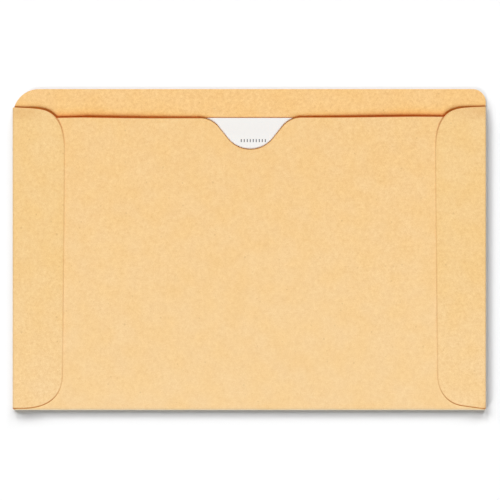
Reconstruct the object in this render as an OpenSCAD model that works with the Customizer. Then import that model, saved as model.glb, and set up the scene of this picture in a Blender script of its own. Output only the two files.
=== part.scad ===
// File pocket: one die-cut kraft sheet, folded up at the bottom and over at both
// sides, glued under the side flaps, with a record card that slides in its mouth.
// The pocket lies on its back. X runs across the mouth, Y from the bottom fold to
// the mouth, Z up from the table. The origin is under the middle of the back panel.

/* [Pocket] */
// Width of the folded pocket, side fold to side fold
pocket_w = 216; // [208:1:300]
// Height of the pocket, bottom fold to the top edge of the back panel
pocket_h = 146.5; // [142:0.5:220]
// Thickness of the kraft paper
paper_t = 0.25; // [0.18:0.01:0.35]
// Height of back panel that shows above the front panel
lip_h = 13; // [11:0.1:17]
// Corner radius of the back panel, top left
left_corner_r = 12; // [6:0.5:14]
// Corner radius of the back panel, top right
right_corner_r = 6; // [3:0.5:8]

/* [Side flaps] */
// Width of a side flap at its top
flap_top_w = 23.4; // [20:0.1:30]
// Width of a side flap at its bottom
flap_bottom_w = 22.1; // [20:0.1:30]
// Drop from the top edge of the back panel to the top edge of a flap
flap_drop = 8.1; // [7:0.1:10.5]
// Rise from the bottom fold to the bottom edge of a flap
flap_rise = 0.7; // [0.7:0.1:4]
// Radius of the rounded inner corners of a flap
flap_corner_r = 13.5; // [8:0.1:18]
// Taper of a flap's top edge, in degrees
flap_top_tilt = 3.8; // [0:0.1:6]
// Taper of a flap's bottom edge, in degrees
flap_bottom_tilt = 5; // [0:0.1:8]

/* [Thumb cut] */
// Depth of the thumb cut below the edge of the front panel
thumb_depth = 14.5; // [12:0.1:18]
// Radius of the bottom of the thumb cut
thumb_bottom_r = 13; // [10:0.1:16]
// Radius of the shoulders of the thumb cut
thumb_shoulder_r = 11.4; // [8:0.1:14]
// Slope of the straight flanks of the thumb cut, in degrees
thumb_slope = 51; // [45:1:55]
// Distance of the thumb cut from the middle of the pocket
thumb_offset = 0.5; // [-5:0.1:5]

/* [Record card] */
// Width of the record card
card_w = 203; // [120:1:210]
// Height of the record card
card_h = 127; // [90:1:131]
// Thickness of the record card
card_t = 0.25; // [0.15:0.01:0.35]
// Depth of the card's top edge below the edge of the front panel
card_tuck = 0.2; // [0:0.1:4]
// Free space above and below the card
card_slip = 0.12; // [0.08:0.01:0.3]

/* [Glue seams] */
// Thickness of the dried glue
glue_t = 0.05; // [0.02:0.01:0.1]
// Width of a glue strip
glue_w = 12; // [6:0.5:14]
// Distance of a glue strip from the side fold
glue_inset = 5; // [2:0.5:6]
// Length of flap left without glue at each end
glue_end = 18; // [16:1:30]

/* [Hidden] */
kraft = [0.93, 0.72, 0.42];
kraft_fold = [0.88, 0.66, 0.37];
card_white = [0.95, 0.95, 0.94];
glue_amber = [0.85, 0.76, 0.55];

// Cuts run this far past the faces that they open
over = 1;
// Angle between points along a die-cut curve
arc_step = 4;
// Gap between the free part of the front panel and its glued margins
seam_gap = 0.2;
// Gap between the front panel and the end of the bottom fold, for the panel's turn
hinge_gap = 0.1;
// Length that the bottom fold stops short of the outer face of each side fold
fold_end = 0.3;

// Heights of the layers, from the table up
card_z = paper_t + card_slip;
front_z = card_z + card_t + card_slip;
glue_z = front_z + paper_t;
flap_z = glue_z + glue_t;
top_z = flap_z + paper_t;

// Folds are half rings: their outer radius is half the height that they wrap
bottom_fold_r = glue_z / 2;
side_fold_r = top_z / 2;

// Lines across the pocket, measured from the middle
half_w = pocket_w / 2;
side_x = half_w - side_fold_r;
fold_half_l = half_w - fold_end;
flap_bottom_x = half_w - flap_bottom_w;

// Lines along the pocket, measured from the middle
top_y = pocket_h / 2;
bottom_y = -pocket_h / 2;
hinge_y = bottom_y + bottom_fold_r;
lip_y = top_y - lip_h;
flap_top_y = top_y - flap_drop;
flap_bottom_y = bottom_y + flap_rise;
flap_l = flap_top_y - flap_bottom_y;
flap_lean = atan((flap_top_w - flap_bottom_w) / flap_l);

$fn = 96;

// Distance from the middle to the inner edge of a flap, at height y
function flap_inner_x(y) =
    flap_bottom_x - (y - flap_bottom_y) * tan(flap_lean);

// Points along an arc, between two angles
function arc(centre, r, start, end) =
    let (steps = ceil(abs(end - start) / arc_step))
    [for (i = [0 : steps])
        let (turn = start + (end - start) * i / steps)
        centre + r * [cos(turn), sin(turn)]];

// Mirrors a right-hand piece to the left-hand side
module left_hand() {
    mirror([1, 0, 0]) children();
}

// Half ring of paper, open to the right, seen along a fold
module fold_section(r) {
    difference() {
        circle(r);
        circle(r - paper_t);
        translate([0, -r - over]) square([r + over, 2 * (r + over)]);
    }
}

// Back panel: full width above the flaps, drawn in where the folds begin
module back_outline() {
    translate([-fold_half_l, hinge_y])
        square([2 * fold_half_l, flap_bottom_y - hinge_y]);
    translate([-side_x, flap_bottom_y]) square([2 * side_x, flap_l]);
    difference() {
        translate([-half_w, flap_top_y]) square([pocket_w, flap_drop]);
        back_corner_cut(right_corner_r);
        left_hand() back_corner_cut(left_corner_r);
    }
}

// What the die takes off a top corner of the back panel
module back_corner_cut(r) {
    translate([half_w - r, top_y - r])
        difference() {
            square(r + over);
            circle(r);
        }
}

// Thumb cut, from right to left along the edge of the front panel: a round shoulder,
// a straight flank, a round bottom, then a flank and a shoulder again
function thumb_points() =
    let (
        both_r = thumb_bottom_r + thumb_shoulder_r,
        flank_h = thumb_depth - both_r * (1 - cos(thumb_slope)),
        shoulder_x = both_r * sin(thumb_slope) + flank_h / tan(thumb_slope),
        shoulder_y = lip_y - thumb_shoulder_r,
        right = [thumb_offset + shoulder_x, shoulder_y],
        left = [thumb_offset - shoulder_x, shoulder_y],
        bottom = [thumb_offset, lip_y - thumb_depth + thumb_bottom_r]
    )
    concat(
        arc(right, thumb_shoulder_r, 90, 90 + thumb_slope),
        arc(bottom, thumb_bottom_r, thumb_slope - 90, -90 - thumb_slope),
        arc(left, thumb_shoulder_r, 90 - thumb_slope, 90)
    );

// Free part of the front panel, between the flaps
module front_outline() {
    low_y = hinge_y + hinge_gap;
    low_x = flap_inner_x(low_y) - seam_gap;
    high_x = flap_inner_x(lip_y) - seam_gap;
    polygon(concat(
        [[-high_x, lip_y], [-low_x, low_y], [low_x, low_y], [high_x, lip_y]],
        thumb_points()
    ));
}

// Margin of the front panel that lies under the right-hand flap
module margin_outline() {
    polygon([
        [flap_inner_x(hinge_y), hinge_y], [side_x, hinge_y],
        [side_x, lip_y], [flap_inner_x(lip_y), lip_y]
    ]);
}

// Centre of a flap corner that touches two edges, each a point and its inward direction
function corner_centre(p, p_in, q, q_in) =
    let (
        p_reach = p * p_in + flap_corner_r,
        q_reach = q * q_in + flap_corner_r,
        cross_in = p_in[0] * q_in[1] - p_in[1] * q_in[0]
    )
    [p_reach * q_in[1] - q_reach * p_in[1], q_reach * p_in[0] - p_reach * q_in[0]] / cross_in;

// Right-hand flap: straight at the fold, tapered towards its leaning inner edge, with
// round corners
module flap_outline() {
    top = [side_x, flap_top_y];
    bottom = [side_x, flap_bottom_y];
    inner = [flap_bottom_x, flap_bottom_y];
    inner_in = [cos(flap_lean), sin(flap_lean)];
    top_in = [sin(flap_top_tilt), -cos(flap_top_tilt)];
    bottom_in = [sin(flap_bottom_tilt), cos(flap_bottom_tilt)];
    polygon(concat(
        [bottom, top],
        arc(corner_centre(top, top_in, inner, inner_in), flap_corner_r,
            90 + flap_top_tilt, 180 + flap_lean),
        arc(corner_centre(bottom, bottom_in, inner, inner_in), flap_corner_r,
            180 + flap_lean, 270 - flap_bottom_tilt)
    ));
}

module back_panel() {
    color(kraft) linear_extrude(paper_t) back_outline();
}

module bottom_fold() {
    color(kraft_fold)
        translate([0, hinge_y, bottom_fold_r])
            rotate([90, 0, 90])
                linear_extrude(2 * fold_half_l, center = true)
                    fold_section(bottom_fold_r);
}

module right_side_fold() {
    color(kraft_fold)
        translate([side_x, flap_top_y, side_fold_r])
            rotate([90, 0, 0])
                linear_extrude(flap_l)
                    mirror([1, 0]) fold_section(side_fold_r);
}

module left_side_fold() {
    left_hand() right_side_fold();
}

module front_panel() {
    color(kraft) translate([0, 0, front_z]) linear_extrude(paper_t) front_outline();
}

module right_front_margin() {
    color(kraft) translate([0, 0, front_z]) linear_extrude(paper_t) margin_outline();
}

module left_front_margin() {
    left_hand() right_front_margin();
}

module right_side_flap() {
    color(kraft) translate([0, 0, flap_z]) linear_extrude(paper_t) flap_outline();
}

module left_side_flap() {
    left_hand() right_side_flap();
}

module right_glue_strip() {
    low_y = flap_bottom_y + glue_end;
    color(glue_amber)
        translate([half_w - glue_inset - glue_w, low_y, glue_z])
            cube([glue_w, lip_y - glue_end - low_y, glue_t]);
}

module left_glue_strip() {
    left_hand() right_glue_strip();
}

module record_card() {
    color(card_white)
        translate([-card_w / 2, lip_y - card_tuck - card_h, card_z])
            cube([card_w, card_h, card_t]);
}

back_panel();
bottom_fold();
left_side_fold();
right_side_fold();
front_panel();
left_front_margin();
right_front_margin();
left_side_flap();
right_side_flap();
left_glue_strip();
right_glue_strip();
record_card();
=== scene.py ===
import math

import bmesh
import bpy
import numpy as np
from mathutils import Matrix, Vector


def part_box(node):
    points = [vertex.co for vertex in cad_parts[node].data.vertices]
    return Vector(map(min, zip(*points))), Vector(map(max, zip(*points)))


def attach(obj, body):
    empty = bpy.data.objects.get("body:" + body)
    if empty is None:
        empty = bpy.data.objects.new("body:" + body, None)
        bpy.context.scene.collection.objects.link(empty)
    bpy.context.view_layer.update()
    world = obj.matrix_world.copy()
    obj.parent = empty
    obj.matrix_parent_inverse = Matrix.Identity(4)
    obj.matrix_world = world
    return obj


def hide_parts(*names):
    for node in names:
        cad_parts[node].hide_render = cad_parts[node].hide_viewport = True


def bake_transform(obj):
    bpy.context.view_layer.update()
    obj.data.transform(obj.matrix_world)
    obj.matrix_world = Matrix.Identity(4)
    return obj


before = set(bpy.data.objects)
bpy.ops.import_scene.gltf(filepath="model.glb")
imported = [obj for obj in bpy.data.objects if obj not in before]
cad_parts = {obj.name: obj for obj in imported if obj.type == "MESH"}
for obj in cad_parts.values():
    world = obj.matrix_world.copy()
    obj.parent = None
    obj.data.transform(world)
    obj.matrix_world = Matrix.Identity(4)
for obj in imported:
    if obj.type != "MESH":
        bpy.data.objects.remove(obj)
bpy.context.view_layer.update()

MM = 0.001

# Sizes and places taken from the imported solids
back_low, back_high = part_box("back_panel")
front_low, front_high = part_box("front_panel")
flap_low, flap_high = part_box("right_side_flap")
card_low, card_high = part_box("record_card")
_, side_fold_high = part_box("right_side_fold")
bottom_fold_low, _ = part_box("bottom_fold")

PAPER = back_high.z - back_low.z
CARD_STOCK = card_high.z - card_low.z
HALF_W = side_fold_high.x
TOP_Y = back_high.y
BOTTOM_Y = bottom_fold_low.y
LIP_Y = front_high.y
BACK_MID = (back_low.z + back_high.z) / 2
FRONT_MID = (front_low.z + front_high.z) / 2
FLAP_MID = (flap_low.z + flap_high.z) / 2
CARD_MID = (card_low.z + card_high.z) / 2

# Die-cut shapes, as the blank shows them
LEFT_CORNER_R = 12.0 * MM
RIGHT_CORNER_R = 6.0 * MM
FLAP_FOOT_Y = BOTTOM_Y + 0.55 * MM
THUMB_X = 0.5 * MM
THUMB_DEPTH = 14.5 * MM
THUMB_BOTTOM_R = 13.0 * MM
THUMB_SHOULDER_R = 11.4 * MM
THUMB_SLOPE = 51.0

# The front panel's top edge isn't quite straight: places across it, and how far it rises there
LIP_X = np.array([-86, -78, -62, -45, -25, 25, 45, 62, 77, 86]) * MM
LIP_RISE = np.array([-0.2, -0.01, -0.27, -0.47, -0.36, -0.03, -0.01, 0.2, 0.36, 0.27]) * MM
LIP_EASE = 3.0 * MM

# Side flaps: how wide they are, where their edges meet the fold, how these taper, and the round corners
FLAP_TOP = {"tilt": 3.5, "along": 17.2 * MM, "down": 23.3 * MM, "fullness": 3.2}
LEFT_FOOT = {"tilt": 0.0, "along": 20.0 * MM, "down": 16.5 * MM, "fullness": 2.55}
RIGHT_FOOT = {"tilt": 8.0, "along": 11.5 * MM, "down": 12.3 * MM, "fullness": 2.2}
FLAPS = {
    "left": {
        "side": -1,
        "top_w": 24.05 * MM,
        "bottom_w": 22.75 * MM,
        "top": {"y": 64.91 * MM, **FLAP_TOP},
        "foot": {"y": FLAP_FOOT_Y, **LEFT_FOOT},
    },
    "right": {
        "side": 1,
        "top_w": 23.4 * MM,
        "bottom_w": 22.1 * MM,
        "top": {"y": 65.27 * MM, **FLAP_TOP},
        "foot": {"y": BOTTOM_Y + 0.25 * MM, **RIGHT_FOOT},
    },
}

# Folds are softer than the half rings: how far in from the edge they start to turn, and their length round
SIDE_TURN = 1.0 * MM
BOTTOM_TURN = 0.5 * MM
SIDE_FOLD_X = HALF_W - PAPER / 2 - SIDE_TURN
BOTTOM_FOLD_Y = BOTTOM_Y + PAPER / 2 + BOTTOM_TURN
SIDE_WRAP = math.pi / 2 * (SIDE_TURN + (FLAP_MID - BACK_MID) / 2)
BOTTOM_WRAP = math.pi / 2 * (BOTTOM_TURN + (FRONT_MID - BACK_MID) / 2)

# The front panel's margins end inside the side folds, and its foot fills the corner below them
MARGIN_X = HALF_W - 1.35 * MM
FOOT_X = HALF_W - 0.3 * MM
FOOT_GAP = 0.1 * MM

# The front panel is free between the flaps: its top edge gapes, less at the thumb cut, and the paper waves
FREE_GAP = 0.2 * MM
FREE_X = HALF_W - max(flap["top_w"] for flap in FLAPS.values()) - FREE_GAP
LIP_GAPE = 0.17 * MM
GAPE_FULL_X = 0.85 * FREE_X
HELD_FROM_X = 58 * MM
HELD_FULL_X = 22 * MM
HELD_SHARE = 0.9
PANEL_WAVE = 0.07 * MM
PANEL_WAVE_FULL_Y = BOTTOM_FOLD_Y + 15 * MM
PANEL_WAVE_X = 19 * MM
PANEL_WAVE_Y = 23 * MM
PANEL_WAVE_ASKEW = 41 * MM
PANEL_SHIFT_X = 0.6
PANEL_SHIFT_Y = -0.4

# Near their folds the flaps are tucked down past the front panel's top edge, and they wave a little
FLAP_TUCK = 0.53
FLAP_TUCK_X = (HALF_W - 20 * MM, HALF_W - 3 * MM)
FLAP_TUCK_Y = (LIP_Y - 1.5 * MM, LIP_Y + 6 * MM)
FLAP_WAVE = 0.025 * MM
FLAP_WAVE_FULL_X = SIDE_FOLD_X - 8 * MM
FLAP_WAVE_X = 9 * MM
FLAP_WAVE_Y = 17 * MM

# The card's top edge dips until it lies just off the back panel
CARD_GAP = 0.02 * MM
CARD_DIP = card_low.z - back_high.z - CARD_GAP
CARD_DIP_FROM = card_high.y - 10 * MM

# Painted shade along edges and folds, partly soiling along cut edges: how strong it is, where it is, and
# how far it reaches from an edge
# painted warm shade beside the front panel's top edge and the flaps' tops, where they lie on the back panel
LIP_SHADE_X = np.array([20, 36, 55, 72]) * MM
LIP_SHADE_REACH = np.array([3.3, 4.4, 5.8, 7.2]) * MM
LIP_SHADE_FROM_X = 20 * MM
FLAP_TOP_SHADE = 0.4
FLAP_TOP_SHADE_REACH = 5.0 * MM
# painted shade on the bottom and side folds, toning down their lit turn
BOTTOM_FOLD_SHADE_LEAD = 0.4 * MM
BOTTOM_FOLD_SHADE_REACH = 0.3 * BOTTOM_WRAP
SIDE_FOLD_SHADE = 0.3
SIDE_FOLD_SHADE_REACH = 0.4 * SIDE_WRAP
# painted shade along cut edges, partly soiling: along the flaps' edges, and the front panel's top edge and
# thumb cut
FLAP_SOIL_AND_SHADE_Y = np.array([-70, -62, -52, 46, 56, 60, 63]) * MM
FLAP_SOIL_AND_SHADE = (1.0, 0.35, 0.19, 0.19, 0.48, 0.48, 0.0)
LIP_SOIL_AND_SHADE_X = np.array([-84, -64, -46, -30, -23, -19, 0, 22, 45, 60, 70, 84]) * MM
LIP_SOIL_AND_SHADE = (0.5, 0.35, 0.35, 0.45, 0.6, 0.1, 0.5, 0.7, 0.75, 0.6, 0.35, 0.3)

# How finely the sheets are divided, and where finer parts begin
GRID = 3.5 * MM
COARSE_GRID = 4 * GRID
CLOSE_GRID = 1.0 * MM
FINE_GRID = 0.6 * MM
GRID_LEAD = 1.0 * MM
FLAP_ZONE_X = HALF_W - 26 * MM
FLAP_GRID_END_Y = LIP_Y - 2 * MM
FLAP_CLOSE_FROM_Y = LIP_Y - 3 * MM
RIM_W = 0.3 * MM
ARC_STEP = 3.0
CORNER_STEPS = 36
LIP_POINTS = 20
FOLD_STEPS = 12
FOLD_SHARES = np.linspace(0, 1, FOLD_STEPS + 1)[:-1]
SNAP = 1e-7
SLOPE_STEP = 5e-6
SHARP_ANGLE = math.radians(40)


# Flat outlines
def arc(x, y, radius, start, end):
    """Points along an arc, between two angles in degrees."""
    steps = math.ceil(abs(end - start) / ARC_STEP)
    turns = np.radians(np.linspace(start, end, steps + 1))
    return [(x + radius * math.cos(t), y + radius * math.sin(t)) for t in turns]


def mirrored(points):
    """An outline turned over to the other side, still running the same way round."""
    return [(-x, y) for x, y in reversed(points)]


def smooth(value, start, end):
    """0 at start, 1 at end, with an even ease between."""
    share = np.clip((value - start) / (end - start), 0, 1)
    return share * share * (3 - 2 * share)


def lip_y(x):
    """Height of the front panel's top edge."""
    rises = [np.interp(x + ease, LIP_X, LIP_RISE) for ease in (-LIP_EASE, 0, LIP_EASE)]
    return LIP_Y + np.mean(rises)


def front_lip(side):
    """One half of the front panel's top edge, from the bottom of the thumb cut out to the margin."""
    both_r = THUMB_BOTTOM_R + THUMB_SHOULDER_R
    slope = math.radians(THUMB_SLOPE)
    flank_h = THUMB_DEPTH - both_r * (1 - math.cos(slope))
    shoulder_x = both_r * math.sin(slope) + flank_h / math.tan(slope)
    bottom_y = LIP_Y - THUMB_DEPTH + THUMB_BOTTOM_R
    bottom = arc(0, bottom_y, THUMB_BOTTOM_R, -90, THUMB_SLOPE - 90)
    shoulder_y = LIP_Y - THUMB_SHOULDER_R
    shoulder = arc(shoulder_x, shoulder_y, THUMB_SHOULDER_R, 90 + THUMB_SLOPE, 90)
    straight_x = np.linspace(shoulder_x, MARGIN_X - side * THUMB_X, LIP_POINTS)[1:]
    straight = [(x, LIP_Y) for x in straight_x]
    half = [(THUMB_X + side * x, y) for x, y in bottom + shoulder + straight]
    return [(x, y + lip_y(x) - LIP_Y) for x, y in half]


def flap_corner(flap, end, up):
    """A right-hand flap's round corner, from its top or foot edge to its leaning inner edge."""
    corner = flap[end]
    lean = math.atan2(flap["top_w"] - flap["bottom_w"], flap["top"]["y"] - flap["foot"]["y"])
    tilt = math.radians(corner["tilt"])
    to_fold = np.array([math.cos(tilt), up * math.sin(tilt)])
    to_middle = up * np.array([math.sin(lean), -math.cos(lean)])
    fold = np.array([HALF_W, corner["y"]])
    inner_top = np.array([HALF_W - flap["top_w"], flap["top"]["y"]])
    reach = np.linalg.solve(np.column_stack([to_fold, -to_middle]), inner_top - fold)[0]
    tip = fold + reach * to_fold
    turn = np.linspace(0, math.pi / 2, CORNER_STEPS + 1)[:, None]
    power = 2 / corner["fullness"]
    from_tip = corner["along"] * (1 - np.sin(turn) ** power) * to_fold
    down_inner = corner["down"] * (1 - np.cos(turn) ** power) * to_middle
    return [tuple(point) for point in tip + from_tip + down_inner]


def flap_cut(flap):
    """A right-hand flap's cut edge laid flat, from its top at the fold round to its foot."""
    foot = flap["foot"]
    foot_run = 0
    if foot["tilt"]:
        foot_run = (FLAP_FOOT_Y - foot["y"]) / math.tan(math.radians(foot["tilt"]))
    return [
        (SIDE_FOLD_X + SIDE_WRAP, flap["top"]["y"]),
        *flap_corner(flap, "top", 1),
        *reversed(flap_corner(flap, "foot", -1)),
        (HALF_W - foot_run, FLAP_FOOT_Y),
        (SIDE_FOLD_X + SIDE_WRAP, FLAP_FOOT_Y),
    ]


def back_outline():
    """Back panel: full width above the flaps, drawn in to where the side folds end."""
    left_top = FLAPS["left"]["top"]["y"]
    right_top = FLAPS["right"]["top"]["y"]
    left_arc = arc(-HALF_W + LEFT_CORNER_R, TOP_Y - LEFT_CORNER_R, LEFT_CORNER_R, 90, 180)
    left_arc = [point for point in left_arc if point[1] > left_top + RIM_W]
    right_arc = arc(HALF_W - RIGHT_CORNER_R, TOP_Y - RIGHT_CORNER_R, RIGHT_CORNER_R, 0, 90)
    return [
        (-SIDE_FOLD_X, BOTTOM_FOLD_Y),
        (SIDE_FOLD_X, BOTTOM_FOLD_Y),
        (SIDE_FOLD_X, right_top),
        (HALF_W, right_top),
        *right_arc,
        *left_arc,
        (left_arc[-1][0], left_top),
        (-SIDE_FOLD_X, left_top),
    ]


def front_outline(side):
    """One half of the front panel laid flat, with the bottom fold, its foot, and half the thumb cut."""
    end_y = BOTTOM_FOLD_Y - BOTTOM_WRAP
    foot_reach = BOTTOM_FOLD_Y + PAPER / 2 - FLAP_FOOT_Y + FOOT_GAP
    foot_start = math.asin(foot_reach / BOTTOM_TURN) / math.pi
    foot_top_y = BOTTOM_FOLD_Y - BOTTOM_WRAP * foot_start
    foot_low_y = BOTTOM_FOLD_Y - BOTTOM_WRAP * (1 - foot_start)
    outline = [
        (THUMB_X, end_y),
        *front_lip(side),
        (side * MARGIN_X, foot_top_y),
        (side * FOOT_X, foot_top_y),
        (side * FOOT_X, foot_low_y),
        (side * MARGIN_X, foot_low_y),
        (side * MARGIN_X, end_y),
    ]
    return outline[::-1] if side > 0 else outline


def card_outline():
    """The record card."""
    return [
        (card_low.x, card_low.y),
        (card_high.x, card_low.y),
        (card_high.x, card_high.y),
        (card_low.x, card_high.y),
    ]


# How each flat outline lies in the folded pocket
def wrap(past, turn, height, length):
    """Reach and drop round a fold, at a distance past its start."""
    angle = np.pi * np.clip(past / length, 0, 1)
    return turn * np.sin(angle), height / 2 * (1 - np.cos(angle))


def lay_back(flat):
    """The back panel lies flat on the table."""
    return np.column_stack([flat, np.full(len(flat), BACK_MID)])


def lay_card(flat):
    """The record card lies between the panels, with its top edge down on the back panel."""
    dip = CARD_DIP * smooth(flat[:, 1], CARD_DIP_FROM, card_high.y)
    return np.column_stack([flat, CARD_MID - dip])


def panel_rise(x, y):
    """How far the front panel lifts: most at its free top edge, less at the thumb cut, never quite flat."""
    free = smooth(-np.abs(x), -FREE_X, -GAPE_FULL_X)
    held = smooth(-np.abs(x), -HELD_FROM_X, -HELD_FULL_X)
    up = smooth(y, BOTTOM_FOLD_Y, LIP_Y)
    gape = LIP_GAPE * up * up * (1 - HELD_SHARE * held)
    crossing = np.sin(x / PANEL_WAVE_X + PANEL_SHIFT_X) * np.sin(y / PANEL_WAVE_Y + PANEL_SHIFT_Y)
    ripple = crossing + np.sin((x + 2 * y) / PANEL_WAVE_ASKEW)
    settle = smooth(y, BOTTOM_FOLD_Y, PANEL_WAVE_FULL_Y) * (1 - held * up)
    return free * (gape + PANEL_WAVE * settle * (2 + ripple) / 2)


def lay_front(flat):
    """The front panel turns up round the bottom fold and lies on the card."""
    x, y = flat.T
    reach, drop = wrap(BOTTOM_FOLD_Y - y, BOTTOM_TURN, FRONT_MID - BACK_MID, BOTTOM_WRAP)
    place_y = np.maximum(y, BOTTOM_FOLD_Y) - reach
    return np.column_stack([x, place_y, FRONT_MID - drop + panel_rise(x, y)])


def lay_flap(flat):
    """A side flap turns over round its fold and lies on the front panel, tucked down past its top edge."""
    x, y = flat.T
    reach, drop = wrap(np.abs(x) - SIDE_FOLD_X, SIDE_TURN, FLAP_MID - BACK_MID, SIDE_WRAP)
    place_x = np.sign(x) * (np.minimum(np.abs(x), SIDE_FOLD_X) + reach)
    tuck = FLAP_TUCK * smooth(np.abs(x), *FLAP_TUCK_X) * smooth(y, *FLAP_TUCK_Y)
    height = BACK_MID + (FLAP_MID - drop - BACK_MID) * (1 - tuck)
    ripple = np.sin(y / FLAP_WAVE_Y + np.abs(x) / FLAP_WAVE_X)
    lift = FLAP_WAVE * (1 + ripple) * smooth(-np.abs(x), -SIDE_FOLD_X, -FLAP_WAVE_FULL_X)
    return np.column_stack([place_x, y, height + lift])


# Sheets of paper as closed meshes
def grid(low, high, pitch=GRID):
    """Evenly spaced lines strictly between two places."""
    count = max(2, round((high - low) / pitch))
    return np.linspace(low, high, count + 1)[1:-1]


def blank(outline, across, along, rims=1):
    """A flat outline as one face with narrow rims, cut along grid lines."""
    flat = bmesh.new()
    face = flat.faces.new([flat.verts.new((x, y, 0)) for x, y in outline])
    face.normal_update()
    for _ in range(rims):
        bmesh.ops.inset_individual(flat, faces=[face], thickness=RIM_W)
    for normal, lines in (((1, 0, 0), across), ((0, 1, 0), along)):
        for line in lines:
            bmesh.ops.bisect_plane(
                flat,
                geom=flat.verts[:] + flat.edges[:] + flat.faces[:],
                dist=SNAP,
                plane_co=Vector(normal) * line,
                plane_no=normal,
            )
    return flat


def distance(points, edge):
    """Distance of flat points from a line of straight pieces."""
    nearest = np.full(len(points), np.inf)
    for start, end in zip(np.array(edge[:-1]), np.array(edge[1:])):
        run = end - start
        share = np.clip((points - start) @ run / (run @ run), 0, 1)
        away = np.linalg.norm(points - start - share[:, None] * run, axis=1)
        nearest = np.minimum(nearest, away)
    return nearest


def sheet(name, flat, lay, thickness, finishes, **marks):
    """A closed sheet: the blank's two faces, laid half a thickness each side, and walls along its edges.

    Finishes are those of the upper face, the under face and the cut edges.
    Marks are how strongly each painted shade, and the soiling along cut edges, shows on its upper face, at
    the blank's points.
    """
    flat.verts.index_update()
    points = np.array([vert.co[:2] for vert in flat.verts])
    steps = np.eye(2) * SLOPE_STEP
    slopes = [lay(points + step) - lay(points - step) for step in steps]
    normals = np.cross(*slopes)
    normals /= np.linalg.norm(normals, axis=1)[:, None]
    middle = lay(points)
    count = len(points)
    faces = [[vert.index for vert in face.verts] for face in flat.faces]
    under = [[index + count for index in reversed(face)] for face in faces]
    walls = []
    for edge in flat.edges:
        if edge.is_boundary:
            loop = edge.link_loops[0]
            start = loop.vert.index
            end = loop.link_loop_next.vert.index
            walls.append([end, start, start + count, end + count])
    flat.free()

    mesh = bpy.data.meshes.new(name)
    places = np.vstack([middle + normals * thickness / 2, middle - normals * thickness / 2])
    mesh.from_pydata(places.tolist(), [], faces + under + walls)
    for finish in finishes:
        mesh.materials.append(finish)
    sides = [0] * len(faces) + [1] * len(under) + [2] * len(walls)
    mesh.polygons.foreach_set("material_index", sides)
    for mark, strength in marks.items():
        attribute = mesh.attributes.new(mark, "FLOAT", "POINT")
        both_faces = np.concatenate([strength(points), np.zeros(count)])
        attribute.data.foreach_set("value", both_faces.astype(np.float32))
    mesh.shade_smooth()
    mesh.set_sharp_from_angle(angle=SHARP_ANGLE)
    piece = bpy.data.objects.new(name, mesh)
    bpy.context.scene.collection.objects.link(piece)
    return piece


# Shader maths
class Value:
    """A shader output that works in Python expressions."""

    def __init__(self, nodes, socket):
        self.nodes = nodes
        self.socket = socket

    def out(self, name):
        """Another output of the same node."""
        return Value(self.nodes, self.socket.node.outputs[name])

    def math(self, operation, *terms):
        return self.nodes.node("ShaderNodeMath", {"operation": operation}, dict(enumerate(terms)))

    def __add__(self, other):
        return self.math("ADD", self, other)

    def __sub__(self, other):
        return self.math("SUBTRACT", self, other)

    def __rsub__(self, other):
        return self.math("SUBTRACT", other, self)

    def __mul__(self, other):
        return self.math("MULTIPLY", self, other)

    def __mod__(self, other):
        return self.math("FLOORED_MODULO", self, other)

    def __lt__(self, other):
        return self.math("LESS_THAN", self, other)

    def __gt__(self, other):
        return self.math("GREATER_THAN", self, other)

    def __abs__(self):
        return self.math("ABSOLUTE", self)

    __radd__ = __add__
    __rmul__ = __mul__

    def ramp(self, start, end):
        """0 at start, 1 at end, eased and held outside."""
        return self.nodes.node(
            "ShaderNodeMapRange",
            {"interpolation_type": "SMOOTHSTEP"},
            {"Value": self, "From Min": start, "From Max": end},
        )


class Nodes:
    """The nodes of a material, or of the world."""

    def __init__(self, owner):
        owner.use_nodes = True
        self.tree = owner.node_tree

    def feed(self, node, sockets):
        """Sets a node's sockets to values, or links them."""
        for key, value in sockets.items():
            socket = node.inputs[key]
            if isinstance(value, Value):
                self.tree.links.new(value.socket, socket)
            elif socket.type == "RGBA":
                socket.default_value = (*value, 1.0)
            else:
                socket.default_value = value

    def node(self, kind, settings=None, sockets=None, out=0):
        """Any node: its settings first, then the values or links of its sockets."""
        node = self.tree.nodes.new(kind)
        for key, value in (settings or {}).items():
            setattr(node, key, value)
        self.feed(node, sockets or {})
        return Value(self, node.outputs[out])


MIX_SHARE = 0
MIX_FIRST = 6
MIX_SECOND = 7
MIX_COLOUR = 2


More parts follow.
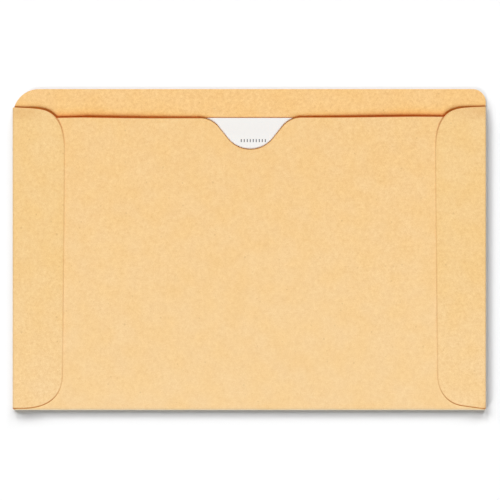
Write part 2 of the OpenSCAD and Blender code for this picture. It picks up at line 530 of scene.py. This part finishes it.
class Finish(Nodes):
    """A material under construction."""

    def __init__(self, name, **constants):
        self.material = bpy.data.materials.new(name)
        super().__init__(self.material)
        self.shader = self.tree.nodes["Principled BSDF"]
        self.feed(self.shader, constants)
        self.place = self.node("ShaderNodeTexCoord", out="Object")

    def axes(self):
        """The place along each axis."""
        split = self.node("ShaderNodeSeparateXYZ", sockets={0: self.place})
        return [split.out(axis) for axis in "XYZ"]

    def noise(self, size, detail=2.0, roughness=0.5, place=None):
        """Fractal noise whose largest features are about this size."""
        return self.node(
            "ShaderNodeTexNoise",
            sockets={
                "Vector": place or self.place,
                "Scale": 1 / size,
                "Detail": detail,
                "Roughness": roughness,
            },
        )

    def fibres(self, length, width, angle):
        """Noise drawn out along one direction, as fibres lie in paper."""
        laid = self.node(
            "ShaderNodeMapping",
            {"vector_type": "TEXTURE"},
            {
                "Vector": self.place,
                "Rotation": (0, 0, math.radians(angle)),
                "Scale": (length, width, width),
            },
        )
        return self.noise(1.0, detail=1.0, place=laid)

    def mark(self, name):
        """How strongly a sheet carries one of its marks here."""
        return self.node("ShaderNodeAttribute", {"attribute_name": name}, out="Fac")

    def mix(self, share, first, second):
        """A colour between two others."""
        return self.node(
            "ShaderNodeMix",
            {"data_type": "RGBA"},
            {MIX_SHARE: share, MIX_FIRST: first, MIX_SECOND: second},
            out=MIX_COLOUR,
        )

    def scaled(self, colour, factor):
        """A colour made lighter or darker."""
        return self.node("ShaderNodeVectorMath", {"operation": "SCALE"}, {0: colour, "Scale": factor})

    def tinted(self, colour, tint):
        """A colour times another."""
        return self.node("ShaderNodeVectorMath", {"operation": "MULTIPLY"}, {0: colour, 1: tint})

    def bump(self, strength, depth, height):
        """A relief for the shader's normal."""
        sockets = {"Strength": strength, "Distance": depth, "Height": height}
        return self.node("ShaderNodeBump", sockets=sockets)

    def done(self, **links):
        self.feed(self.shader, links)
        return self.material


def linear(red, green, blue):
    """A display colour, 0 to 255, as shader values by the sRGB curve."""
    shares = [channel / 255 for channel in (red, green, blue)]
    return tuple(s / 12.92 if s <= 0.04045 else ((s + 0.055) / 1.055) ** 2.4 for s in shares)


WHITE = (1.0, 1.0, 1.0)
# Middle of a noise's range, and of a mix
MIDDLE = 0.5

# Kraft colours, and tints by which its pulp, its edge soiling and the painted shade along edges and folds
# change them
KRAFT_LOW = linear(247, 209, 152)
KRAFT_HIGH = linear(246, 204, 142)
KRAFT_FLAP_HIGH = linear(245, 205, 142)
KRAFT_INNER = linear(248, 202, 136)
KRAFT_CUT = linear(226, 182, 122)
KRAFT_FLECK = linear(176, 122, 66)
# painted shade along cut edges, partly soiling
KRAFT_SOIL_AND_SHADE = linear(187, 112, 46)
PULP_DARK = (0.9, 0.83, 0.75)
PULP_LIGHT = (1.1, 1.17, 1.25)
KRAFT_WARM = (1.0, 0.988, 0.95)
KRAFT_PALE = (1.0, 1.012, 1.05)
# painted shade: warm shade beside edges that lie on the back panel, narrow and wide
KRAFT_PAINTED_SHADE = (1.0, 0.5, 0.55)
KRAFT_PAINTED_SHADE_WIDE = (1.0, 0.94, 0.55)
# painted shade on the folds
KRAFT_FOLD_SHADE = (0.66, 0.65, 0.74)

# Heights over which the kraft's colour and contrast change, and its contrasts at the two ends
EVEN = (0, 1)
FRONT_HEIGHTS = (-75 * MM, 75 * MM)
FLAP_HEIGHTS = (-70 * MM, 0)
CUT_CONTRAST = (1.0, 1.0)
INNER_CONTRAST = (1.5, 1.5)
FRONT_CONTRAST = (0.95, 1.33)
FLAP_CONTRAST = (1.25, 1.25)

# Kraft pulp: sizes of its features, their shares of its tone and relief, and its gloss
CLOUD_SIZE = 14 * MM
HUE_SIZE = 11 * MM
HUE_SPREAD = (0.25, 0.75)
FELT_SIZE = 1.6 * MM
GRAIN_SIZE = 0.5 * MM
FIBRE_LENGTH = 3.2 * MM
FIBRE_W = 0.25 * MM
FIBRE_ANGLES = (12, 67, 128)
CLOUD_TONE = 0.12
FELT_TONE = 0.64
GRAIN_TONE = 0.58
FIBRE_TONE = 0.32
FELT_RELIEF = 0.5
GRAIN_RELIEF = 0.2
FIBRE_RELIEF = 0.3
KRAFT_BUMP = 0.3
KRAFT_DEPTH = 0.03 * MM
KRAFT_SPECULAR = 0.25
KRAFT_ROUGH = 0.84
KRAFT_ROUGH_FELT = 0.12
# how the painted edge shade and soiling vary with the felt
SOIL_AND_SHADE_EVEN = 0.6
SOIL_AND_SHADE_FELT = 0.8

# Bark flecks: the share of cells that have one, its size in its cell, and how dark it is
FLECK_CELL = 3.4 * MM
FLECK_SHARE = 0.5
FLECK_LEAST = 0.05
FLECK_MORE = 0.12
FLECK_CRISP = 16
FLECK_FAINT = 0.19
FLECK_DARK = 0.45


def bark_flecks(finish):
    """Small flecks, in some of the cells that a sheet is divided into, and of several sizes."""
    cells = finish.node(
        "ShaderNodeTexVoronoi",
        sockets={"Vector": finish.place, "Scale": 1 / FLECK_CELL},
        out="Distance",
    )
    chance = finish.node("ShaderNodeSeparateColor", sockets={0: cells.out("Color")})
    size = FLECK_LEAST + FLECK_MORE * chance.out("Green")
    spot = ((size - cells) * FLECK_CRISP).ramp(0, 1)
    rare = chance.out("Blue") * chance.out("Blue")
    return spot * (chance < FLECK_SHARE) * (FLECK_FAINT + FLECK_DARK * rare * rare)


def kraft_paper(name, low, high, heights, contrast, cut=False):
    """Kraft: cloudy pulp, felted grain, crossing fibres, bark flecks, soiling, and painted shade along
    edges and folds.

    Its colour goes from low to high over two heights, and its pulp's contrast from one to the other.
    """
    finish = Finish(name, **{"Specular IOR Level": KRAFT_SPECULAR})
    up = finish.axes()[1].ramp(*heights)
    cloud = finish.noise(CLOUD_SIZE, detail=3.0, roughness=0.55)
    felt = finish.noise(FELT_SIZE, detail=2.0, roughness=0.55)
    grain = finish.noise(GRAIN_SIZE, detail=1.0)
    first, second, third = (finish.fibres(FIBRE_LENGTH, FIBRE_W, angle) for angle in FIBRE_ANGLES)
    tangle = first + second + third
    pulp = (
        CLOUD_TONE * (cloud - MIDDLE)
        + FELT_TONE * (felt - MIDDLE)
        + GRAIN_TONE * (grain - MIDDLE)
        + FIBRE_TONE * (tangle - len(FIBRE_ANGLES) * MIDDLE)
    )
    strength = contrast[0] + (contrast[1] - contrast[0]) * up
    tone = finish.mix(MIDDLE + strength * pulp, PULP_DARK, PULP_LIGHT)
    if cut:
        paper = finish.tinted(low, tone)
    else:
        hue = finish.noise(HUE_SIZE, detail=1.0)
        rub = finish.mark("rub")
        # painted shade along cut edges, partly soiling, varied with the felt
        soil_and_shade = finish.mark("soil_and_shade") * (SOIL_AND_SHADE_EVEN + SOIL_AND_SHADE_FELT * felt)
        paper = finish.mix(up, low, high)
        paper = finish.tinted(paper, finish.mix(hue.ramp(*HUE_SPREAD), KRAFT_WARM, KRAFT_PALE))
        # painted warm shade beside edges that lie on the back panel
        paper = finish.tinted(paper, finish.mix(rub, WHITE, KRAFT_PAINTED_SHADE_WIDE))
        paper = finish.tinted(paper, finish.mix(rub * rub, WHITE, KRAFT_PAINTED_SHADE))
        # painted shade on the folds
        paper = finish.tinted(paper, finish.mix(finish.mark("fold_shade"), WHITE, KRAFT_FOLD_SHADE))
        paper = finish.mix(soil_and_shade, finish.tinted(paper, tone), KRAFT_SOIL_AND_SHADE)
        paper = finish.mix(bark_flecks(finish), paper, KRAFT_FLECK)
    rough = KRAFT_ROUGH + KRAFT_ROUGH_FELT * (felt - MIDDLE)
    relief = FELT_RELIEF * felt + GRAIN_RELIEF * grain + FIBRE_RELIEF * tangle
    bump = finish.bump(KRAFT_BUMP, KRAFT_DEPTH, relief)
    return finish.done(**{"Base Color": paper, "Roughness": rough, "Normal": bump})


# Card stock, and the plain form of rules printed on its face
CARD_WHITE = linear(245, 243, 240)
CARD_CUT = linear(228, 225, 219)
CARD_PULP_SIZE = 0.9 * MM
CARD_PULP_TONE = 0.025
CARD_BUMP = 0.15
CARD_DEPTH = 0.02 * MM
CARD_SPECULAR = 0.2
CARD_ROUGH = 0.85
CARD_ROUGH_PULP = 0.2
RULE_BLUE = linear(150, 172, 196)
RULE_RED = linear(206, 132, 128)
RULE_GREY = linear(92, 90, 94)
RULE_PITCH = 6.35 * MM
RULE_W = 0.22 * MM
RULES_HEAD_Y = card_high.y - 17.5 * MM
RULES_FOOT_Y = card_low.y + 8 * MM
RULES_MARGIN = 6 * MM
COLUMNS_X = (-72 * MM, 58 * MM)
COMB_X = (-3.9 * MM, 8.4 * MM)
COMB_Y = (49.0 * MM, 50.4 * MM)
COMB_PITCH = 1.37 * MM
COMB_TICK = 0.5 * MM
COMB_INK = 0.85


def between(value, low, high):
    """1 between two places, 0 elsewhere."""
    return (value > low) * (value < high)


def band(value, middle, width):
    """1 in a band about a place, 0 elsewhere."""
    return abs(value - middle) < width / 2


def card_paper(name, cut=False):
    """White card: a faint pulp tone, and on its face a plain form of printed rules and a row of ticks."""
    finish = Finish(name, **{"Specular IOR Level": CARD_SPECULAR})
    pulp = finish.noise(CARD_PULP_SIZE, detail=3.0, roughness=0.6)
    tone = 1 + CARD_PULP_TONE * (pulp - MIDDLE)
    bump = finish.bump(CARD_BUMP, CARD_DEPTH, pulp)
    if cut:
        return finish.done(**{"Base Color": finish.scaled(CARD_CUT, tone), "Normal": bump})
    x, y, z = finish.axes()
    face = z > CARD_MID
    printed = face * between(x, card_low.x + RULES_MARGIN, card_high.x - RULES_MARGIN)
    body = printed * between(y, RULES_FOOT_Y - RULE_W, RULES_HEAD_Y)
    lines = body * (((y - RULES_HEAD_Y) % RULE_PITCH) < RULE_W)
    columns = body * sum(band(x, column_x, RULE_W) for column_x in COLUMNS_X)
    head = printed * band(y, RULES_HEAD_Y, 2 * RULE_W)
    ticks = ((x - COMB_X[0]) % COMB_PITCH) < COMB_TICK
    comb = face * ticks * between(x, *COMB_X) * between(y, *COMB_Y)
    paper = finish.scaled(CARD_WHITE, tone)
    paper = finish.mix(lines, paper, RULE_BLUE)
    paper = finish.mix(columns, paper, RULE_RED)
    paper = finish.mix(head, paper, RULE_RED)
    paper = finish.mix(comb * COMB_INK, paper, RULE_GREY)
    rough = CARD_ROUGH + CARD_ROUGH_PULP * (pulp - MIDDLE)
    return finish.done(**{"Base Color": paper, "Roughness": rough, "Normal": bump})


# Dried glue
GLUE_AMBER = linear(222, 196, 140)
GLUE_SPECULAR = 0.5
STREAK_LENGTH = 18 * MM
STREAK_W = 0.8 * MM
STREAK_ANGLE = 90
STREAK_DARK = 0.85
STREAK_TONE = 0.3
GLUE_ROUGH = 0.3
STREAK_ROUGH = 0.3


def dried_glue(name):
    """A thin amber film with brushed streaks."""
    finish = Finish(name, **{"Specular IOR Level": GLUE_SPECULAR})
    streak = finish.fibres(STREAK_LENGTH, STREAK_W, STREAK_ANGLE)
    film = finish.scaled(GLUE_AMBER, STREAK_DARK + STREAK_TONE * streak)
    return finish.done(**{"Base Color": film, "Roughness": GLUE_ROUGH + STREAK_ROUGH * streak})


kraft_cut_edge = kraft_paper("kraft_cut_edge", KRAFT_CUT, KRAFT_CUT, EVEN, CUT_CONTRAST, cut=True)
kraft_inner = kraft_paper("kraft_inner_face", KRAFT_INNER, KRAFT_INNER, EVEN, INNER_CONTRAST)
kraft_front = kraft_paper("kraft_front_face", KRAFT_LOW, KRAFT_HIGH, FRONT_HEIGHTS, FRONT_CONTRAST)
kraft_flap = kraft_paper("kraft_flap_face", KRAFT_LOW, KRAFT_FLAP_HIGH, FLAP_HEIGHTS, FLAP_CONTRAST)
card_face = card_paper("card_stock")
card_cut_edge = card_paper("card_cut_edge", cut=True)
glue_film = dried_glue("dried_glue")


# Back panel
def rub_from(points, edge, reach):
    """How painted shade cast by an edge fades away from it."""
    return np.clip(1 - distance(points, edge) / reach, 0, 1) ** 2


def edge_rub(points):
    """How strong the painted shade is beside the edges that lie on the back panel."""
    strength = np.zeros(len(points))
    lip_reach = np.interp(np.abs(points[:, 0]), LIP_SHADE_X, LIP_SHADE_REACH)
    for flap in FLAPS.values():
        side = flap["side"]
        lip = [(x, y) for x, y in front_lip(side) if abs(x - THUMB_X) > LIP_SHADE_FROM_X]
        top = [(side * x, y) for x, y in flap_cut(flap) if y > LIP_Y]
        top[0] = (side * HALF_W, flap["top"]["y"])
        strength = np.maximum(strength, rub_from(points, lip, lip_reach))
        strength = np.maximum(strength, FLAP_TOP_SHADE * rub_from(points, top, FLAP_TOP_SHADE_REACH))
    return strength


def make_back_panel():
    fine_x = grid(FLAP_ZONE_X, HALF_W, FINE_GRID)
    across = [*-fine_x, *grid(-FLAP_ZONE_X, FLAP_ZONE_X), *fine_x]
    fine_y = grid(LIP_Y - GRID_LEAD, TOP_Y - GRID_LEAD, FINE_GRID)
    along = [*grid(BOTTOM_FOLD_Y, LIP_Y, COARSE_GRID), *fine_y]
    flat = blank(back_outline(), across, along)
    finishes = (kraft_inner, kraft_front, kraft_cut_edge)
    # the back panel carries painted warm shade beside the edges lying on it
    panel = sheet("back_panel_sheet", flat, lay_back, PAPER, finishes, rub=edge_rub)
    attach(panel, "pocket")
    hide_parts("back_panel")
    return panel


# Front panel, in two halves that meet under the thumb cut
def make_front_half(name, side):
    lip = front_lip(side)

    # painted shade along the top edge and thumb cut, partly soiling
    def lip_soil_and_shade(points):
        strength = np.interp(points[:, 0] - THUMB_X, LIP_SOIL_AND_SHADE_X, LIP_SOIL_AND_SHADE)
        return strength * smooth(-distance(points, lip), -RIM_W, 0)

    # painted shade on the bottom fold
    def fold_shade_strength(points):
        return smooth(BOTTOM_FOLD_Y - points[:, 1], -BOTTOM_FOLD_SHADE_LEAD, BOTTOM_FOLD_SHADE_REACH)

    far_x = side * FOOT_X
    across = grid(min(THUMB_X, far_x), max(THUMB_X, far_x))
    fold_y = BOTTOM_FOLD_Y - BOTTOM_WRAP * FOLD_SHARES
    fold_shade_y = BOTTOM_FOLD_Y + BOTTOM_FOLD_SHADE_LEAD
    below_thumb_y = lip[0][1] - RIM_W
    along = [*fold_y, fold_shade_y, *grid(BOTTOM_FOLD_Y, LIP_Y), below_thumb_y]
    flat = blank(front_outline(side), across, along)
    finishes = (kraft_front, kraft_inner, kraft_cut_edge)
    # marks: painted shade and soiling along the cut edge, painted shade on the fold
    marks = {"soil_and_shade": lip_soil_and_shade, "fold_shade": fold_shade_strength}
    half = sheet(f"front_panel_{name}_half", flat, lay_front, PAPER, finishes, **marks)
    side * FREE_X
    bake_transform(half)
    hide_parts(f"{name}_front_margin", "front_panel", "bottom_fold")
    return half


# Side flaps, each with its fold
def make_side_flap(name, flap):
    outline = flap_cut(flap)
    fold_x = SIDE_FOLD_X + SIDE_WRAP * FOLD_SHARES
    across = np.array([*grid(HALF_W - flap["top_w"], SIDE_FOLD_X), *fold_x])
    if flap["side"] < 0:
        outline = mirrored(outline)
        across = -across

    # painted shade along the cut edge, partly soiling
    def edge_soil_and_shade(points):
        strength = np.interp(points[:, 1], FLAP_SOIL_AND_SHADE_Y, FLAP_SOIL_AND_SHADE)
        return strength * smooth(-distance(points, outline), -2 * RIM_W, -RIM_W)

    # painted shade on the side fold
    def fold_shade_strength(points):
        return SIDE_FOLD_SHADE * smooth(np.abs(points[:, 0]) - SIDE_FOLD_X, 0, SIDE_FOLD_SHADE_REACH)

    close_y = grid(FLAP_CLOSE_FROM_Y, flap["top"]["y"], CLOSE_GRID)
    along = [*grid(FLAP_FOOT_Y, FLAP_GRID_END_Y), *close_y]
    flat = blank(outline, across, along, rims=2)
    finishes = (kraft_flap, kraft_inner, kraft_cut_edge)
    # marks: painted shade and soiling along the cut edge, painted shade on the fold
    marks = {"soil_and_shade": edge_soil_and_shade, "fold_shade": fold_shade_strength}
    piece = sheet(f"{name}_side_flap_sheet", flat, lay_flap, PAPER, finishes, **marks)
    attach(piece, "pocket")
    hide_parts(f"{name}_side_flap", f"{name}_side_fold")
    return piece


# Record card
def make_record_card():
    across = grid(card_low.x, card_high.x, COARSE_GRID)
    close_y = grid(CARD_DIP_FROM - GRID_LEAD, card_high.y, CLOSE_GRID)
    along = [*grid(card_low.y, CARD_DIP_FROM, COARSE_GRID), *close_y]
    flat = blank(card_outline(), across, along)
    finishes = (card_face, card_face, card_cut_edge)
    card = sheet("record_card_sheet", flat, lay_card, CARD_STOCK, finishes)
    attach(card, "card")
    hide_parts("record_card")
    return card


# Glue strips keep their solids
def finish_glue_strips():
    strips = [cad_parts[f"{name}_glue_strip"] for name in FLAPS]
    for strip in strips:
        strip.data.materials.clear()
        strip.data.materials.append(glue_film)
    return strips


pieces = [make_back_panel(), make_record_card(), *finish_glue_strips()]
for flap_name, flap_sizes in FLAPS.items():
    pieces.append(make_front_half(flap_name, flap_sizes["side"]))
    pieces.append(make_side_flap(flap_name, flap_sizes))

# Camera, straight above, framed as in the photograph
FRAME_W = 228.1 * MM
LOOK_X = 0.32 * MM
LOOK_Y = -0.25 * MM
LENS = 100.0
SENSOR = 36.0
camera_data = bpy.data.cameras.new("camera")
camera_data.lens = LENS
camera_data.sensor_width = SENSOR
camera = bpy.data.objects.new("camera", camera_data)
camera.location = (LOOK_X, LOOK_Y, front_high.z + FRAME_W * LENS / SENSOR)
bpy.context.scene.collection.objects.link(camera)
bpy.context.scene.camera = camera

# Studio: lamps whose shares of the light on a level sheet add up to one, and others for the floor alone
FLOOR_SIZE = 6.0
FLOOR_DROP = 0.02 * MM
FLOOR_WHITE = 0.8
FLOOR_BRIGHT = 1.03
FLOOR_LIGHT = FLOOR_BRIGHT / FLOOR_WHITE
WORLD_SHARE = 0.06
BOUNCE_SHARE = np.array([0.26, 0.1, 0.01])
KEY_SHARE = 1 - WORLD_SHARE - BOUNCE_SHARE
KEY_FROM = (0.0, -0.85, 0.55)
KEY_SPREAD = 34
BOUNCE_FROM = (0.0, 0.85, 0.6)
BOUNCE_SPREAD = 60
FLOOR_SUNS = {
    "floor_left_sun": {"place": (-3.5, 3.0, 1.0), "spread": 16, "part": 0.285},
    "floor_back_sun": {"place": (-1.5, 4.5, 1.0), "spread": 8, "part": 0.210},
    "floor_right_sun": {"place": (2.5, 6.0, 1.0), "spread": 16, "part": 0.145},
    "floor_front_sun": {"place": (-3.5, -4.0, 1.0), "spread": 8, "part": 0.190},
    "floor_high_sun": {"place": (0.5, 2.0, 1.0), "spread": 32, "part": 0.170},
}


def make_floor():
    half = FLOOR_SIZE / 2
    corners = [(-half, -half, 0), (half, -half, 0), (half, half, 0), (-half, half, 0)]
    mesh = bpy.data.meshes.new("studio_floor")
    mesh.from_pydata(corners, [], [(0, 1, 2, 3)])
    finish = Finish("studio_floor", **{"Roughness": 1.0, "Specular IOR Level": 0.0})
    mesh.materials.append(finish.done(**{"Base Color": (FLOOR_WHITE, FLOOR_WHITE, FLOOR_WHITE)}))
    floor = bpy.data.objects.new("studio_floor", mesh)
    floor.location.z = -FLOOR_DROP
    bpy.context.scene.collection.objects.link(floor)
    return floor


def make_world():
    """White where the camera sees it, and a weak even light for everything else."""
    world = bpy.data.worlds.new("studio_world")
    nodes = Nodes(world)
    seen = nodes.node("ShaderNodeLightPath", out="Is Camera Ray")
    strength = nodes.node("ShaderNodeMapRange", sockets={"Value": seen, "To Min": WORLD_SHARE})
    nodes.feed(nodes.tree.nodes["Background"], {"Color": WHITE, "Strength": strength})
    bpy.context.scene.world = world


def make_sun(name, place, spread, share, lit):
    """A sun that adds its share of light to level sheets, and lights only the objects it is for."""
    towards = Vector(place).normalized()
    level_light = share * math.pi / towards.z
    data = bpy.data.lights.new(name, "SUN")
    data.angle = math.radians(spread)
    data.energy = level_light.max()
    data.color = level_light / level_light.max()
    sun = bpy.data.objects.new(name, data)
    sun.location = towards
    sun.rotation_euler = towards.to_track_quat("Z", "Y").to_euler()
    bpy.context.scene.collection.objects.link(sun)
    receivers = bpy.data.collections.new(f"{name}_lights")
    for obj in lit:
        receivers.objects.link(obj)
    sun.light_linking.receiver_collection = receivers


floor = make_floor()
make_world()
make_sun("key_sun", KEY_FROM, KEY_SPREAD, KEY_SHARE, pieces)
make_sun("bounce_sun", BOUNCE_FROM, BOUNCE_SPREAD, BOUNCE_SHARE, pieces)
for sun_name, sun in FLOOR_SUNS.items():
    floor_share = np.full(3, sun["part"] * (FLOOR_LIGHT - WORLD_SHARE))
    make_sun(sun_name, sun["place"], sun["spread"], floor_share, [floor])
bpy.context.scene.view_settings.view_transform = "Standard"
